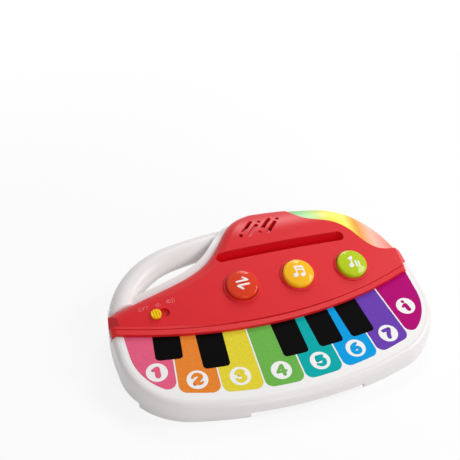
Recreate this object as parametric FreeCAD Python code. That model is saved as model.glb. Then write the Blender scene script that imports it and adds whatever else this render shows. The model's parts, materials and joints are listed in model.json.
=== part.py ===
import FreeCAD, Part
import math
import os
from FreeCAD import Vector

# Toy piano in millimetres, +Z up, origin under the middle of the plan, keys towards -Y.

# Plan of the housing: two long bows joined by round corners
body_width = 249.0
body_depth = 167.0
long_edge_share = 1.213
front_corner_share = 0.329
rear_corner_share = 0.461

# Walls, clearances and the overrun of every cutting shape
wall = 2.2
fit = 0.2
close_fit = 0.05
overrun = 15.0

# Heights
floor_gap = 5.0
parting_height = 10.5
window_bottom = 23.0
key_plane_height = 32.7
key_tilt = 12.0
border_round = 4.5
deck_thickness = 2.4

# Red cover: sloped front, round crest, slight crown across
cover_front_ahead_share = 0.2539
cover_front_right_share = 1.345
cover_front_left_share = 1.62
cover_lip_height = 2.6
cover_lip_gap = 0.4
cover_lip_width = 5.0
lip_groove_width = 0.7
lip_groove_depth = 0.8
crest_y_share = 0.7925
crest_height = 59.3
crest_radius = 40.0
crown_share = 5.62
cover_wall = 2.2
cover_round = 10.0
cover_skirt = 8.5
cover_wrap = 6.0
cover_end_cut = 7.5
cover_end_slope = 45.0
apron_start_share = 0.70
deck_under_cover = 7.6
ledge_width = 9.0
cover_edge_shares = [(-1.12, 0.20), (-0.95, 0.262), (-0.774, 0.323), (-0.504, 0.414), (-0.357, 0.496),
                     (-0.273, 0.581), (-0.169, 0.747), (-0.111, 0.848), (-0.052, 0.922), (0.024, 0.976),
                     (0.112, 1.012)]
window_edge_shares = [(0.30, 1.06), (0.341, 0.835), (0.40, 0.742), (0.511, 0.676), (0.60, 0.625),
                      (0.687, 0.514), (0.757, 0.36), (0.82, 0.285), (0.93, 0.258), (1.13, 0.25)]
edge_inward_share = (0.5, 0.85)
window_inward_share = (0.6, 0.7)

# Lamp window
window_drop = 1.2
window_round_share = 0.038
window_wall = 2.0
window_skirt = 6.0

# White strip behind the cover, handle bay and handle tube
strip_width = 5.0
handle_radius = 9.9
handle_wall = 2.0
handle_inset = 10.1
handle_below_keys = 10.2
handle_start_share = 0.05
handle_end_share = 0.01

# Key pads, film frame, spacer sheet and contact board, stacked below the key plane
film_thickness = 1.2
spacer_thickness = 0.8
board_thickness = 1.0
film_border = 5.0
key_side_border = 8.2
key_front_border = 11.2
key_corner_radius = 42.0
key_line = 1.3
key_fit = 0.1
key_corner = 6.0
key_under_lip = 2.0
film_under_lip = 5.0
key_pitch_share = 0.2458
fan_reach_share = 4.924
fan_front_share = 0.795
black_width_front = 19.6
black_width_rear = 20.8
black_front_back = 17.0
black_corner = 3.0
black_lines = [-3, -2, 0, 1, 2]
black_shift_shares = [-0.09, 0.01, 0.03, 0.01, -0.07]
black_shorter_shares = [0.36, -0.01, -0.08, -0.05, -0.04]

# Round buttons and their board
button_pitch_share = 0.3719
button_place_share = (0.2088, 0.1401)
button_radius = 12.4
button_fit = 0.35
button_dome = 5.4
button_shoulder = 4.3
button_shoulder_in = 2.0
button_flange = 1.8
button_flange_thickness = 1.4
button_flange_gap = 0.4
button_stem_radius = 4.0
button_stem = 1.8
button_travel = 2.0
ring_width = 1.8
ring_height = 1.0
ring_round = 0.7
tact_size = 7.0
tact_height = 2.4
tact_gap = 0.2
circuit_thickness = 1.6
button_board_end = 15.0
button_board_width = 19.0
board_post_radius = 3.0

# Slide switch
switch_place_share = (-0.692, 0.0719)
switch_slot_length = 14.4
switch_slot_width = 7.6
switch_knob_length = 7.4
switch_knob_height = 2.4
switch_knob_corner = 3.2
switch_side_fit = 0.3
switch_end_fit = 0.4
switch_rib_pitch = 2.0
switch_rib_depth = 0.8
switch_body_length = 24.0
switch_body_width = 12.0
switch_body_height = 7.0

# Card slot with its pocket
slot_place_share = (0.1807, 0.4695)
slot_length_share = 0.4378
slot_width = 8.4
pocket_wall = 1.5
pocket_depth = 24.0

# Loudspeaker and its grille
speaker_place_share = (0.0884, 0.745)
speaker_radius = 14.5
speaker_below_crest = 11.8
speaker_flange = 1.6
speaker_depth = 8.0
speaker_back_radius = 9.5
speaker_sheet = 0.8
magnet_radius = 8.5
magnet_height = 5.0
collar_wall = 1.8
collar_height = 4.0
grille_slot_width = 3.2
grille_slot_length = 15.6
grille_place_share = (0.0908, 0.7162)
grille_pitch = 8.0
grille_dot_gap = 4.8
grille_slide = 3.2
grille_dot_sides = [-1, 1, -1, 1]

# Battery box, cells and door in the lower housing
cell_radius = 7.1
cell_length = 49.2
cell_nub_radius = 2.7
cell_nub_length = 1.1
cell_pitch = 15.0
cell_count = 3
battery_place_share = (0.2008, 0.2395)
battery_box_wall = 1.8
battery_room = 57.0
contact_thickness = 0.6
contact_height = 11.0
contact_spring_radius = 3.2
door_thickness = 2.0
door_overlap = 3.0
door_tab = 10.0
door_groove = 1.0
door_groove_pitch = 4.0
door_groove_length = 18.0
door_groove_count = 4

# Screws and their posts
screw_head_radius = 2.8
screw_head_height = 1.6
screw_shank_radius = 1.4
screw_slot = 0.8
screw_fit = 0.1
screw_reach = 4.0
post_radius = 4.2
post_meet_height = 12.5
screw_place_shares = [(-0.485, -0.627), (0.485, -0.627), (-0.80, -0.24), (0.80, -0.24), (-0.50, 0.36)]

# Feet
foot_depth = 13.0
foot_inset = 1.2
foot_x_share = 0.36
foot_y_share = 0.53
foot_side_rear_share = 0.24
foot_side_front_share = -0.06

# Tongue that centres the two housings
tongue_wall = 1.6
tongue_height = 2.0
lower_inset = 0.5

# Lamps behind the window
lamp_radius = 2.5
lamp_height = 7.0
lamp_board_inset = 24.0
lamp_board_width = 11.0
lamp_board_rise = 1.0
lamp_board_x_share = 0.40
lamp_board_y_share = 0.36
lamp_shares = [(0.485, 0.655), (0.62, 0.575), (0.705, 0.43)]
lamp_post_radius = 3.0

# Values that follow from the sizes above
half_width = body_width / 2
half_depth = body_depth / 2
long_edge_radius = body_width * long_edge_share
front_corner_radius = body_depth * front_corner_share
rear_corner_radius = body_depth * rear_corner_share
cover_front_right_radius = body_width * cover_front_right_share
cover_front_left_radius = body_width * cover_front_left_share
crown_radius = body_width * crown_share
cover_front_ahead = half_depth * cover_front_ahead_share
window_round = body_width * window_round_share
tilt = math.radians(key_tilt)
deck_half_depth = half_depth / math.cos(tilt)
stack_depth = film_thickness + spacer_thickness + board_thickness
sky = crest_height + overrun
far = body_width * 2


def key_height(y):
    return key_plane_height + y * math.tan(tilt)


cover_front_z = key_height(-cover_front_ahead) + cover_lip_height
crest_y = half_depth * crest_y_share
crest_run = crest_y + cover_front_ahead
crest_sink = crest_radius - crest_height + cover_front_z
slope = math.asin(crest_radius / math.hypot(crest_run, crest_sink)) - math.atan2(crest_sink, crest_run)
crest_start_y = crest_y - crest_radius * math.sin(slope)
crest_start_z = crest_height - crest_radius * (1 - math.cos(slope))
apron_start = half_depth * apron_start_share


def from_shares(shares):
    return shares[0] * half_width, shares[1] * half_depth


key_pitch = half_width * key_pitch_share
fan_reach = half_width * fan_reach_share
fan_front = half_depth * fan_front_share
black_front_reach = fan_reach - black_front_back
button_pitch = half_width * button_pitch_share
button_middle_x, button_y = from_shares(button_place_share)
switch_x, switch_y = from_shares(switch_place_share)
slot_x, slot_y = from_shares(slot_place_share)
slot_length = body_width * slot_length_share
speaker_x, speaker_y = from_shares(speaker_place_share)
speaker_top = crest_height - speaker_below_crest
collar_bottom = speaker_top - collar_height
grille_x, grille_y = from_shares(grille_place_share)
battery_x, battery_y = from_shares(battery_place_share)
lamp_board_height = window_bottom + lamp_board_rise


def point(x, y=0, z=0):
    return Vector(x, y, z)


def line(start, end):
    return Part.LineSegment(start, end).toShape()


def arc(start, middle, end):
    return Part.Arc(start, middle, end).toShape()


def prism(wire, bottom, top):
    face = Part.Face(wire)
    face.translate(point(0, 0, bottom))
    return face.extrude(point(0, 0, top - bottom))


def box(x0, x1, y0, y1, z0, z1):
    return Part.makeBox(x1 - x0, y1 - y0, z1 - z0, point(x0, y0, z0))


def cylinder(radius, bottom, top, x=0, y=0):
    return Part.makeCylinder(radius, top - bottom, point(x, y, bottom))


def obround(length, width, bottom, top):
    reach = (length - width) / 2
    middle = box(-reach, reach, -width / 2, width / 2, bottom, top)
    ends = [cylinder(width / 2, bottom, top, x) for x in (-reach, reach)]
    return middle.fuse(ends).removeSplitter()


def revolved(profile):
    wire = Part.makePolygon([point(r, 0, z) for r, z in profile + profile[:1]])
    return Part.Face(wire).revolve(point(0, 0), point(0, 0, 1), 360)


def single(shape):
    return shape.Solids[0] if len(shape.Solids) == 1 else shape


# Plan outline: long bows front and rear, straight sides, round corners

def plan_corner(side, front, bow, bend):
    corner_x = side - bend
    bow_y = bow - front
    corner_y = bow_y - math.sqrt((bow - bend) ** 2 - corner_x ** 2)
    turn = math.atan2(corner_y - bow_y, corner_x)
    meet = point(bow * math.cos(turn), bow_y + bow * math.sin(turn))
    middle = point(corner_x + bend * math.cos(turn / 2), corner_y + bend * math.sin(turn / 2))
    return meet, middle, point(side, corner_y)


def mirrored(spot, x_sign, y_sign):
    return point(spot.x * x_sign, spot.y * y_sign)


def rounded_plan(side, front, bow, front_bend, rear_bend):
    corners = []
    for bend, y_sign in ((front_bend, 1), (rear_bend, -1)):
        trio = plan_corner(side, front, bow, bend)
        corners.append([[mirrored(spot, x_sign, y_sign) for spot in trio] for x_sign in (-1, 1)])
    (front_left, front_right), (rear_left, rear_right) = corners
    edges = [arc(front_left[0], point(0, -front), front_right[0]), arc(*front_right)]
    edges += [line(front_right[2], rear_right[2]), arc(*rear_right[::-1])]
    edges += [arc(rear_right[0], point(0, front), rear_left[0]), arc(*rear_left)]
    edges += [line(rear_left[2], front_left[2]), arc(*front_left[::-1])]
    return Part.Wire(edges)


def outline(inset, depth=half_depth):
    bends = (front_corner_radius - inset, rear_corner_radius - inset)
    return rounded_plan(half_width - inset, depth - inset, long_edge_radius - inset, *bends)


def key_plan(grow):
    front = deck_half_depth - key_front_border + grow
    bow = long_edge_radius - key_front_border + grow
    bend = key_corner_radius + grow
    return rounded_plan(half_width - key_side_border + grow, front, bow, bend, bend)


def share_curve(shares, dx, dy):
    points = [point(x * half_width + dx, y * half_depth + dy) for x, y in shares]
    curve = Part.BSplineCurve()
    curve.interpolate(points)
    return curve.toShape(), points[0], points[-1]


def cover_edge(inward):
    return share_curve(cover_edge_shares, edge_inward_share[0] * inward, -edge_inward_share[1] * inward)


def window_edge(inward):
    dx, dy = [-share * inward for share in window_inward_share]
    return share_curve(window_edge_shares, dx, dy)


def bow_point(x, back, ahead):
    radius = cover_front_right_radius if x > 0 else cover_front_left_radius
    return point(x, radius - ahead + back - math.sqrt(radius ** 2 - x ** 2))


def front_bow(back, ahead=cover_front_ahead):
    reach = half_width + overrun
    places = [bow_point(reach * i / 2, back, ahead) for i in (-2, -1, 0, 1, 2)]
    left, half_left, tip, half_right, right = places
    return [arc(left, half_left, tip), arc(tip, half_right, right)], left, right


def ahead_of_bow(back, bottom, top, ahead=cover_front_ahead):
    bow, left, right = front_bow(back, ahead)
    front_left = point(left.x, -far)
    front_right = point(right.x, -far)
    sides = [line(right, front_right), line(front_right, front_left), line(front_left, left)]
    return prism(Part.Wire(bow + sides), bottom, top)


def cover_region(edge_in, window_in, back, bottom, top):
    edge, edge_left, edge_rear = cover_edge(edge_in)
    side, side_rear, side_right = window_edge(window_in)
    bow, left, right = front_bow(back)
    joins = [line(right, side_right), side, line(side_rear, edge_rear), edge, line(edge_left, left)]
    return prism(Part.Wire(bow + joins), bottom, top)


def window_region(grow, bottom, top):
    side, rear, right = window_edge(grow)
    back_corner = point(rear.x, far)
    outer_corner = point(far, far)
    right_corner = point(far, right.y)
    joins = [line(right, right_corner), line(right_corner, outer_corner)]
    joins += [line(outer_corner, back_corner), line(back_corner, rear)]
    return prism(Part.Wire([side] + joins), bottom, top)


def handle_bay(grow, bottom, top):
    edge, left, rear = cover_edge(grow - strip_width)
    back_corner = point(rear.x, far)
    outer_corner = point(-far, far)
    left_corner = point(-far, left.y)
    joins = [line(rear, back_corner), line(back_corner, outer_corner)]
    joins += [line(outer_corner, left_corner), line(left_corner, left)]
    return prism(Part.Wire([edge] + joins), bottom, top)


def plan(inset, bottom, top):
    return prism(outline(inset), bottom, top).cut(handle_bay(inset, bottom - overrun, top + overrun))


# Tilted key plane

def tilted(shape):
    shape.rotate(point(0, 0), point(1, 0), key_tilt)
    shape.translate(point(0, 0, key_plane_height))
    return shape


def below_keys(drop):
    return tilted(box(-far, far, -far, far, -far, -drop))


def above_keys(rise):
    return tilted(box(-far, far, -far, far, rise, far))


# Crowned top surface of the cover, as a solid below it

def profile_height(y):
    if y < crest_start_y:
        return cover_front_z + (y + cover_front_ahead) * math.tan(slope)
    return crest_height - crest_radius + math.sqrt(crest_radius ** 2 - (y - crest_y) ** 2)


def top_height(x, y):
    ring = crown_radius + profile_height(y) - crest_height
    return crest_height - crown_radius + math.sqrt(ring ** 2 - x ** 2)


pocket_bottom = top_height(slot_x, slot_y) - pocket_depth


def cover_top(drop):
    front = -half_depth - overrun
    rear = half_depth + overrun / 3
    low = -overrun * 2
    corners = [(front, low), (front, profile_height(front) - drop)]
    corners += [(crest_start_y, crest_start_z - drop), (crest_y, crest_height - drop)]
    corners += [(rear, profile_height(rear) - drop), (rear, low)]
    p = [point(0, y, z) for y, z in corners]
    edges = [line(p[0], p[1]), line(p[1], p[2]), arc(p[2], p[3], p[4]), line(p[4], p[5]), line(p[5], p[0])]
    axis = point(0, 0, crest_height - crown_radius)
    span = math.degrees(math.asin((half_width + overrun) / (crown_radius - crest_height)))
    face = Part.Face(Part.Wire(edges))
    face.rotate(axis, point(0, 1), -span)
    return face.revolve(axis, point(0, 1), 2 * span)


def on_cover(shape, x, y):
    dx = -x / (crown_radius - crest_height + profile_height(y))
    across = Vector(1, 0, dx)
    along = Vector(0, 1, math.tan(slope))
    turn = FreeCAD.Rotation(across, along, across.cross(along), "ZXY")
    shape.Placement = FreeCAD.Placement(point(x, y, top_height(x, y)), turn).multiply(shape.Placement)
    return shape


def upright(edge):
    return abs(edge.tangentAt(edge.FirstParameter).z) > 0.9


def middle_of(edge):
    return edge.valueAt((edge.FirstParameter + edge.LastParameter) / 2)


def near_curve(spot, curve):
    return Part.Vertex(point(spot.x, spot.y)).distToShape(curve)[0] < fit


def end_cut(side, inset):
    lean = math.tan(math.radians(cover_end_slope))
    along = Vector(0, 1, math.tan(slope))
    down = Vector(side, 0, -lean)
    outward = Vector(side * lean, -math.tan(slope), 1)
    place = point(side * (half_width - cover_end_cut), 0, top_height(half_width - cover_end_cut, 0))
    turn = FreeCAD.Rotation(down, along, outward, "ZXY")
    block = box(-far, far, -far, far, -inset, far)
    block.Placement = FreeCAD.Placement(place, turn)
    return block


def cover_envelope(inset):
    solid = cover_region(inset, inset, cover_lip_width + inset, -overrun, sky)
    solid = solid.common(prism(outline(inset), -overrun / 2, sky + overrun))
    solid = solid.common(cover_top(inset))
    rims = []
    for edge in solid.Edges:
        spot = middle_of(edge)
        on_top = abs(spot.z - top_height(spot.x, spot.y) + inset) < cover_lip_gap
        at_rear = spot.y > apron_start and near_curve(spot, outline(inset))
        at_edge = edge.Length > cover_round and near_curve(spot, cover_edge(inset)[0])
        if on_top and (at_rear or at_edge):
            rims.append(edge)
    solid = solid.makeFillet(cover_round - inset, rims)
    return solid.cut(end_cut(-1, inset)).cut(end_cut(1, inset))


# White upper housing

def deck_block(inset, drop):
    block = prism(outline(inset), parting_height - inset, sky).common(below_keys(drop))
    level = drop / math.cos(tilt)
    rims = [e for e in block.Edges if all(abs(v.Z - key_height(v.Y) + level) < fit for v in e.Vertexes)]
    return block.makeFillet(border_round - inset, rims)


def front_block(inset, drop, back):
    return deck_block(inset, drop).common(ahead_of_bow(back, -overrun, sky))


def rear_block(inset):
    block = plan(inset, parting_height - inset, sky).common(cover_top(cover_skirt + fit + inset))
    return block


def handle_tube(radius, grow):
    side = half_width - handle_inset
    front = deck_half_depth - handle_inset
    bow = long_edge_radius - handle_inset
    trio = plan_corner(side, front, bow, rear_corner_radius - handle_inset)
    joint, bend_middle, bend_start = [mirrored(spot, -1, -1) for spot in trio]
    bow_y = front - bow
    end_x = -half_width * handle_end_share
    end_y = bow_y + math.sqrt(bow ** 2 - end_x ** 2)
    half_x = (joint.x + end_x) / 2
    half_y = bow_y + math.sqrt(bow ** 2 - half_x ** 2)
    start = point(-side, -half_depth * handle_start_share)
    path = [line(start, bend_start), arc(bend_start, bend_middle, joint)]
    path.append(arc(joint, point(half_x, half_y), point(end_x, end_y)))
    ring = Part.Wire(Part.makeCircle(radius, start, point(0, 1)))
    tube = Part.Wire(path).makePipeShell([ring], True, True)
    tube = tilted(tube)
    tube.translate(point(0, 0, -handle_below_keys))
    return tube.common(handle_bay(grow, -overrun, sky))


def handle_middle(gap, up):
    if up:
        half = box(-far, far, -far, far, gap, far)
    else:
        half = box(-far, far, -far, far, -far, -gap)
    half = tilted(half)
    half.translate(point(0, 0, -handle_below_keys))
    return half


def end_wraps(gap):
    ring = prism(outline(-overrun), -overrun, sky).cut(prism(outline(cover_wall + gap), -far, far))
    ring = ring.common(cover_region(-gap, -gap, -gap, -overrun, sky))
    ends = ring.common(above_keys(-cover_wrap - gap)).common(box(-far, far, -far, apron_start, -far, far))
    apron = ring.common(box(-far, far, apron_start, far, parting_height - gap, far))
    return ends.fuse(apron)


def deck_recess():
    recess = prism(outline(film_border - close_fit, deck_half_depth), -stack_depth, overrun)
    ahead = cover_front_ahead / math.cos(tilt)
    return tilted(recess.common(ahead_of_bow(film_under_lip + close_fit, -far, far, ahead)))


def screw_places():
    return [from_shares(shares) for shares in screw_place_shares]


def upper_housing():
    outer = front_block(0, 0, deck_under_cover).fuse(rear_block(0))
    outer = outer.cut(handle_bay(0, -overrun, sky))
    outer = outer.fuse(handle_tube(handle_radius, strip_width - fit))
    inner = front_block(wall, stack_depth + deck_thickness, deck_under_cover - wall).fuse(rear_block(wall))
    shell = outer.cut(inner)
    opening = cover_region(ledge_width, -overrun / 3, deck_under_cover, -overrun, sky)
    opening = opening.common(prism(outline(ledge_width), -overrun, sky))
    shell = shell.cut(opening.cut(below_keys(stack_depth + deck_thickness)).fuse(
        opening.common(box(-far, far, -far, far, parting_height, far))))
    shell = shell.cut(window_region(-fit, window_bottom - fit, sky)).cut(end_wraps(fit)).cut(deck_recess())
    for x, y in screw_places():
        top = key_height(y) - stack_depth - deck_thickness
        post = cylinder(post_radius, post_meet_height, top + deck_thickness, x, y)
        if y > 0:
            post = cylinder(post_radius, post_meet_height, sky, x, y).common(cover_top(cover_skirt + wall))
        bore = cylinder(screw_shank_radius + screw_fit, -overrun, post_meet_height + screw_reach, x, y)
        shell = shell.fuse(post).cut(bore)
    shell = shell.cut(pocket_block(pocket_wall + fit, pocket_bottom - fit, sky))
    shell = shell.cut(handle_bay(0, -overrun, sky))
    return shell.cut(collar_block(fit)).cut(deck_recess())


def handle_shell(gap, seam, up):
    tube = handle_tube(handle_radius, -gap).cut(handle_tube(handle_radius - handle_wall, -gap))
    return tube.common(handle_middle(seam, up))


# Red cover and what hangs from it

def button_places():
    return [(button_middle_x + button_pitch * i, button_y) for i in (-1, 0, 1)]


def button_ring(gap):
    ring = cylinder(button_radius + button_fit + ring_width, -cover_wall - gap, ring_height)
    top = [e for e in ring.Edges if middle_of(e).z > 0 and e.Closed]
    return ring.makeFillet(ring_round, top)


def grille():
    cuts = []
    turn = math.radians(45)
    reach = (grille_slot_length - grille_slot_width) / 2 + grille_dot_gap
    for i, side in enumerate(grille_dot_sides):
        x = (i - (len(grille_dot_sides) - 1) / 2) * grille_pitch
        slide = -side * grille_slide
        hole = obround(grille_slot_length, grille_slot_width, collar_bottom, sky)
        hole = hole.fuse(cylinder(grille_slot_width / 2, collar_bottom, sky, side * reach))
        hole.rotate(point(0, 0), point(0, 0, 1), 45)
        hole.translate(point(grille_x + x + slide * math.cos(turn), grille_y + slide * math.sin(turn)))
        cuts.append(hole)
    return cuts


def board_posts():
    places = [(-button_pitch / 2, 0), (button_pitch / 2, 0)]
    length = tact_height - tact_top()
    posts = []
    for x, y in places:
        post = cylinder(board_post_radius, -length, -cover_wall / 2, x, y)
        posts.append(on_cover_board(post))
    return posts


def on_cover_board(shape):
    return on_cover(shape, button_middle_x, button_y)


def lip():
    band = ahead_of_bow(cover_lip_width + cover_wall, -overrun, sky)
    band = band.cut(ahead_of_bow(0, -far, far))
    return band.common(deck_block(0, -cover_lip_height)).cut(deck_block(0, -cover_lip_gap))


def lip_groove():
    band = ahead_of_bow(cover_lip_width, -overrun, sky)
    band = band.cut(ahead_of_bow(cover_lip_width - lip_groove_width, -far, far))
    return band.common(above_keys(cover_lip_height - lip_groove_depth))


def top_cover():
    shell = cover_envelope(0).cut(cover_envelope(cover_wall))
    inside = prism(outline(cover_wall + fit), -far, far)
    shell = shell.cut(inside.common(cover_top(cover_skirt)))
    front = inside.common(ahead_of_bow(deck_under_cover, -overrun, sky)).common(below_keys(-cover_lip_gap))
    shell = shell.cut(front)
    front_ends = box(-far, far, -far, apron_start, -far, far).common(below_keys(cover_wrap))
    shell = shell.cut(front_ends).cut(box(-far, far, -far, far, -far, parting_height))
    shell = shell.fuse(lip().cut(end_cut(1, 0))).cut(lip_groove())
    for x, y in button_places():
        shell = shell.fuse(on_cover(button_ring(0), x, y))
    collar = collar_block(0).cut(cylinder(speaker_radius + fit, -far, far, speaker_x, speaker_y))
    collar = collar.common(box(-far, far, -far, far, collar_bottom, sky))
    shell = shell.fuse(collar.common(cover_envelope(cover_wall / 2)))
    for post in board_posts():
        shell = shell.fuse(post)
    for x, y in button_places():
        hole = cylinder(button_radius + button_fit, -overrun, overrun)
        shell = shell.cut(on_cover(hole, x, y))
    switch_slot = obround(switch_slot_length, switch_slot_width, -overrun / 3, overrun)
    shell = shell.cut(on_cover(switch_slot, switch_x, switch_y))
    return shell.cut(pocket_block(0, pocket_bottom, sky)).cut(grille())


def pocket_block(grow, bottom, top):
    block = obround(slot_length + grow * 2, slot_width + grow * 2, bottom, top)
    block.translate(point(slot_x, slot_y))
    return block


def card_pocket():
    pocket = pocket_block(pocket_wall, pocket_bottom, sky)
    pocket = pocket.cut(pocket_block(0, pocket_bottom + pocket_wall, sky + overrun))
    return pocket.common(cover_envelope(cover_wall + fit))


def collar_block(grow):
    radius = speaker_radius + fit + collar_wall + grow
    return cylinder(radius, collar_bottom - speaker_depth - magnet_height, sky, speaker_x, speaker_y)


def window_envelope(inset):
    body = window_region(0, -overrun, sky)
    body.translate(point(fit + inset, fit + inset))
    body = body.common(cover_top(window_drop + inset)).common(prism(outline(inset), -overrun, sky))
    rims = []
    for edge in body.Edges:
        spot = middle_of(edge)
        on_top = abs(spot.z - top_height(spot.x, spot.y) + window_drop + inset) < cover_lip_gap
        if on_top and near_curve(spot, outline(inset)):
            rims.append(edge)
    return body.makeFillet(window_round - inset, rims)


def light_window():
    shell = window_envelope(0).cut(window_envelope(window_wall))
    inside = prism(outline(window_wall + fit), -far, far)
    shell = shell.cut(inside.common(cover_top(window_drop + window_skirt)))
    return shell.common(box(-far, far, -far, far, window_bottom, far))


# Keyboard, drawn flat and then tilted

def fan_point(steps, reach, aside):
    angle = steps * key_pitch / fan_reach
    across = point(math.cos(angle), math.sin(angle))
    down = point(math.sin(angle), -math.cos(angle))
    return point(0, fan_reach - fan_front) + down * reach + across * aside


def wedge(first, last, gap, bottom, top):
    near = fan_reach - body_depth
    corners = [fan_point(first, near, gap), fan_point(last, near, -gap)]
    corners += [fan_point(last, fan_reach + body_depth, -gap), fan_point(first, fan_reach + body_depth, gap)]
    return prism(Part.makePolygon(corners + corners[:1]), bottom, top)


def key_block(index, grow, bottom, top):
    first = index - 4 if index > 0 else -5
    last = index - 3 if index < 7 else 5
    block = wedge(first, last, key_line / 2 - grow, bottom, top)
    block = block.common(prism(key_plan(grow), bottom, top))
    ahead = cover_front_ahead / math.cos(tilt)
    block = block.common(ahead_of_bow(key_under_lip + grow, -far, far, ahead))
    limit = -fan_front + key_corner * 2
    corners = [e for e in block.Edges if upright(e) and e.Vertexes[0].Y < limit]
    return block.makeFillet(key_corner + grow, corners)


def black_block(index, grow, bottom, top):
    steps = black_lines[index]
    aside = black_shift_shares[index] * key_pitch
    reach = black_front_reach + grow - black_shorter_shares[index] * key_pitch
    near = fan_reach - fan_front - half_depth
    front = black_width_front / 2 + grow
    rear = black_width_rear / 2 + grow
    corners = [fan_point(steps, near, aside - rear), fan_point(steps, near, aside + rear)]
    corners += [fan_point(steps, reach, aside + front), fan_point(steps, reach, aside - front)]
    block = prism(Part.makePolygon(corners + corners[:1]), bottom, top)
    tip = fan_point(steps, reach, aside)
    tips = [e for e in block.Edges if upright(e) and (e.Vertexes[0].Point - tip).Length < black_width_rear]
    block = block.makeFillet(black_corner + grow, tips)
    ahead = cover_front_ahead / math.cos(tilt)
    return block.common(ahead_of_bow(key_under_lip + grow, -far, far, ahead))


def key(index):
    block = key_block(index, 0, -film_thickness, 0)
    for black in range(len(black_lines)):
        block = block.cut(black_block(black, key_fit, -overrun, overrun))
    return tilted(single(block))


def black_key(index):
    return tilted(black_block(index, 0, -film_thickness, 0))


def key_sheet(bottom, top, with_windows):
    sheet = prism(outline(film_border, deck_half_depth), bottom, top)
    ahead = cover_front_ahead / math.cos(tilt)
    sheet = sheet.common(ahead_of_bow(film_under_lip, -far, far, ahead))
    if with_windows:
        for index in range(8):
            sheet = sheet.cut(key_block(index, key_fit, -overrun, overrun))
        for black in range(len(black_lines)):
            sheet = sheet.cut(black_block(black, key_fit, -overrun, overrun))
    return tilted(sheet)


# Buttons and switch

def button():
    bottom = -cover_wall - button_flange_gap
    shoulder = button_radius - button_shoulder_in
    rise = button_dome - button_shoulder
    ball = (shoulder ** 2 + rise ** 2) / (2 * rise)
    half = math.asin(shoulder / ball) / 2
    between = point(ball * math.sin(half), 0, button_dome - ball * (1 - math.cos(half)))
    dome = arc(point(0, 0, button_dome), between, point(shoulder, 0, button_shoulder))
    wall_top = button_shoulder - button_shoulder_in
    bend = button_shoulder_in * math.cos(math.radians(45))
    turn = arc(point(shoulder, 0, button_shoulder), point(shoulder + bend, 0, wall_top + bend),
               point(button_radius, 0, wall_top))
    rest = [(button_radius, wall_top), (button_radius, bottom), (button_radius + button_flange, bottom)]
    low = bottom - button_flange_thickness
    rest += [(button_radius + button_flange, low), (button_stem_radius, low)]
    rest += [(button_stem_radius, low - button_stem), (0, low - button_stem), (0, button_dome)]
    sides = Part.makePolygon([point(r, 0, z) for r, z in rest])
    profile = Part.Wire([dome, turn] + sides.Edges)
    return Part.Face(profile).revolve(point(0, 0), point(0, 0, 1), 360)


def tact_top():
    low = -cover_wall - button_flange_gap - button_flange_thickness - button_stem
    crown_drop = button_pitch ** 2 / (2 * crown_radius)
    return low - button_travel - tact_gap - crown_drop


def tact_switch(x):
    top = tact_top()
    half = tact_size / 2
    body = box(-half, half, -half, half, top - tact_height, top - tact_height / 2)
    body = body.fuse(cylinder(half / 2, top - tact_height, top))
    body.translate(point(x - button_middle_x, 0))
    return on_cover_board(body)


def button_board():
    top = tact_top() - tact_height
    half_long = button_pitch + button_board_end
    half_wide = button_board_width / 2
    return on_cover_board(box(-half_long, half_long, -half_wide, half_wide, top - circuit_thickness, top))


def switch_knob():
    half_wide = switch_slot_width / 2 - switch_side_fit
    start = -switch_slot_length / 2 + switch_end_fit
    end = start + switch_knob_length
    knob = box(start, end, -half_wide, half_wide, -cover_wall, switch_knob_height)
    corners = [e for e in knob.Edges if upright(e)]
    knob = knob.makeFillet(switch_knob_corner, corners)
    middle = (start + end) / 2
    for step in (-1, 0, 1):
        x = middle + step * switch_rib_pitch
        width = switch_rib_depth / 2
        rib = box(x - width, x + width, -overrun, overrun, switch_knob_height - switch_rib_depth, overrun)
        knob = knob.cut(rib)
    return on_cover(knob, switch_x, switch_y)


def switch_body():
    half_long = switch_body_length / 2
    half_wide = switch_body_width / 2
    top = -cover_wall - fit
    body = box(-half_long, half_long, -half_wide, half_wide, top - switch_body_height, top)
    return on_cover(body, switch_x, switch_y)


# Loudspeaker

def speaker_basket():
    low = speaker_top - speaker_depth
    inner = speaker_radius - speaker_flange
    flange_low = speaker_top - speaker_flange
    outer = [(inner, speaker_top), (speaker_radius, speaker_top), (speaker_radius, flange_low)]
    outer += [(speaker_back_radius, low), (0, low), (0, low + speaker_sheet)]
    outer += [(speaker_back_radius - speaker_sheet, low + speaker_sheet), (inner, flange_low)]
    basket = revolved(outer)
    basket.translate(point(speaker_x, speaker_y))
    return basket


def speaker_cone():
    inner = speaker_radius - speaker_flange - fit
    top = speaker_top
    low = speaker_top - speaker_depth / 2
    core = speaker_back_radius / 3
    profile = [(inner, top), (core, low), (0, low + speaker_sheet * 2), (0, low + speaker_sheet * 3)]
    profile += [(core, low + speaker_sheet), (inner - speaker_sheet, top)]
    cone = revolved(profile)
    cone.translate(point(speaker_x, speaker_y))
    return cone


def speaker_magnet():
    top = speaker_top - speaker_depth
    return cylinder(magnet_radius, top - magnet_height, top, speaker_x, speaker_y)


# Lower housing with feet, battery box, posts

def battery_half_depth():
    return cell_pitch * cell_count / 2 + fit


def cell_axis():
    return floor_gap + wall + cell_radius + fit


def foot_ring():
    return prism(outline(foot_inset), 0, floor_gap).cut(prism(outline(foot_inset + foot_depth), -far, far))


def feet():
    ring = foot_ring()
    x = half_width * foot_x_share
    y = half_depth * foot_y_share
    zones = [box(-far, -x, -far, -y, 0, floor_gap), box(x, far, -far, -y, 0, floor_gap)]
    zones.append(box(x, far, y, far, 0, floor_gap))
    front = half_depth * foot_side_front_share
    rear = half_depth * foot_side_rear_share
    zones.append(box(-far, -x, front, rear, 0, floor_gap))
    return [ring.common(zone) for zone in zones]


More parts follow.
